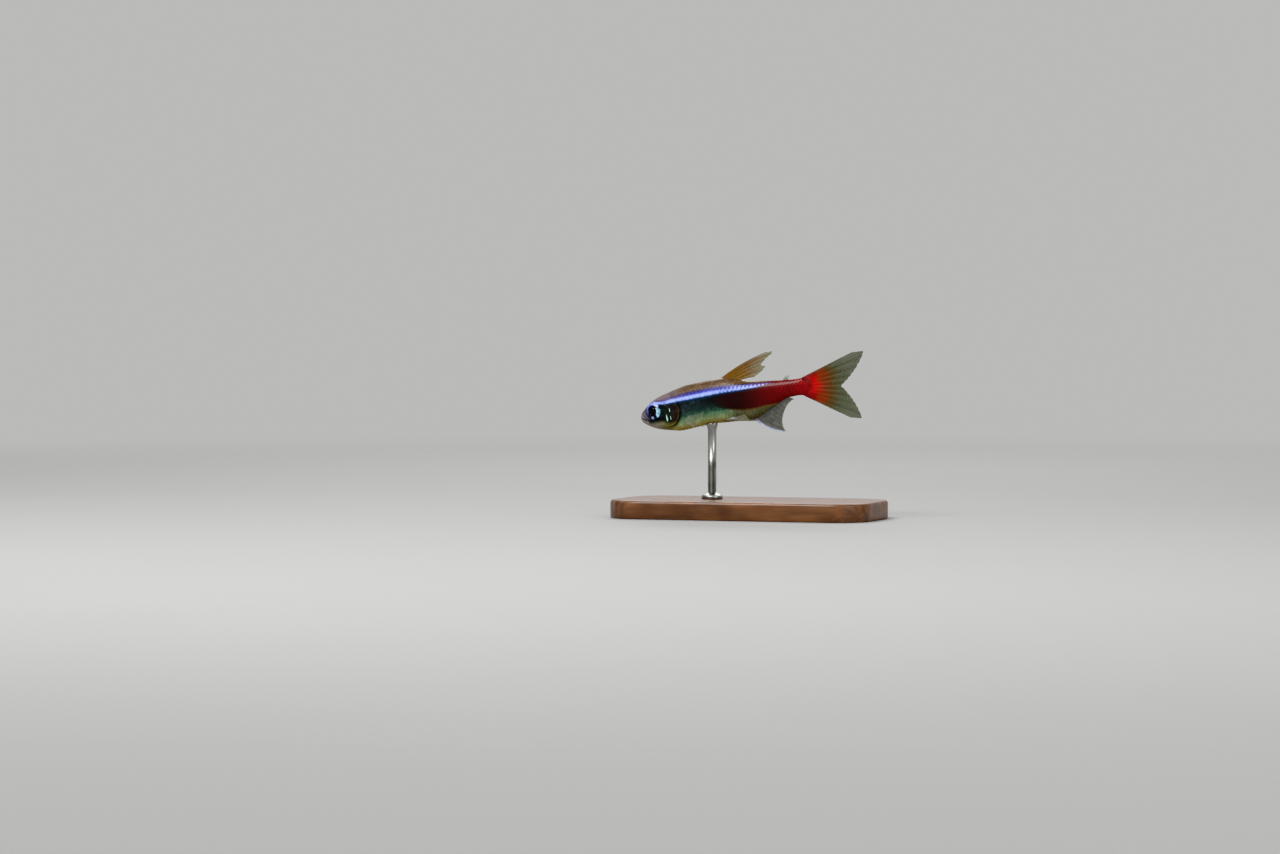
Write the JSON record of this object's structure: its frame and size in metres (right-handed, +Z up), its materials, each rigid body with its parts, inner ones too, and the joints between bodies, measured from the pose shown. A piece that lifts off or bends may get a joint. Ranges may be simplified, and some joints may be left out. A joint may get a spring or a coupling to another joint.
{
  "type": "neon tetra",
  "caption": "Life-size still model of a small slim tetra with a blue stripe and red tail half, head tipped down, on a flat base with an upright rod.",
  "frame": {"origin": "centre of the underside of the stand's base", "axes": "+Z up, the snout points to -X and down by 10 degrees, the fish's left side faces -Y"},
  "size_m": [0.038, 0.018, 0.0235],
  "materials": {
    "skin": "wet scaled skin with a shining blue stripe, red rear half and silvery green belly",
    "eye": "clear dome over a blue and turquoise iris and a black pupil",
    "dorsal_web": "amber translucent fin with pale rays",
    "tail_web": "translucent fin, red at its root and grey green at the tips",
    "pale_web": "translucent grey fin, leading edge bluish white",
    "clear_web": "almost clear fin with fine rays",
    "base_wood": "dark wood, satin lacquer",
    "rod_steel": "satin steel"
  },
  "bodies": {
    "root": {"head": "skin", "trunk": "skin", "tail_stem": "skin", "eye_left": "eye", "eye_right": "eye", "dorsal_fin": "dorsal_web", "adipose_fin": "pale_web", "caudal_fin": "tail_web", "anal_fin": "pale_web", "pectoral_fin_left": "clear_web", "pectoral_fin_right": "clear_web", "pelvic_fin_left": "pale_web", "pelvic_fin_right": "pale_web", "stand_base": "base_wood", "stand_rod": "rod_steel"}
  },
  "joints": []
}
